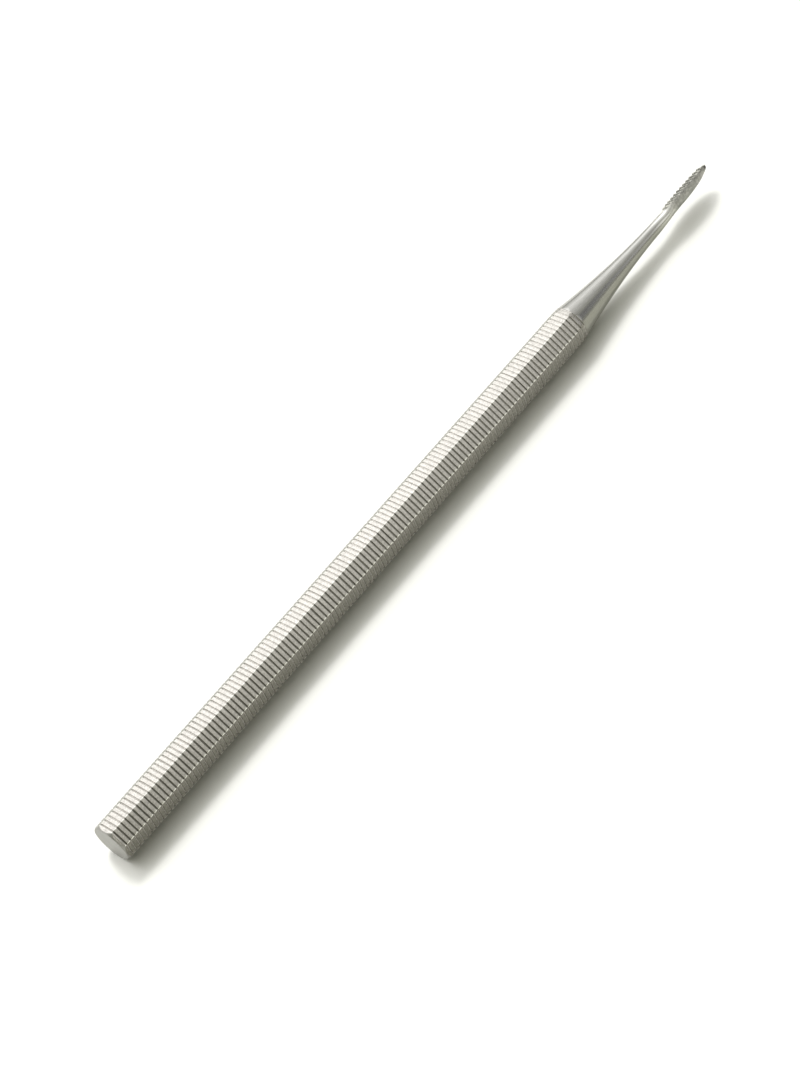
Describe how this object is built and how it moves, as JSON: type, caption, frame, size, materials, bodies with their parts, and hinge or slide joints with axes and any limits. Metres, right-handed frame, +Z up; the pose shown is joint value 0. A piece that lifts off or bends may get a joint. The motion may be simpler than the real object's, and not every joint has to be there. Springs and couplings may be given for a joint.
{
  "type": "podiatry file",
  "caption": "Slim steel podiatry file: an octagonal grooved handle tapering to a narrow half-round blade with a toothed flat face.",
  "frame": {"origin": "middle of the tool's length, on the surface that the handle's bottom flat rests on", "axes": "+X along the tool from the handle's flat end to the blade's tip, +Z up out of the handle's top flat, +Y across"},
  "size_m": [0.14, 0.006, 0.006],
  "materials": {
    "satin_steel": "satin, warm grey stainless steel",
    "polished_steel": "polished by hand, with faint long scratches"
  },
  "bodies": {
    "root": {"handle": "satin_steel", "working_end": "polished_steel"}
  },
  "joints": []
}
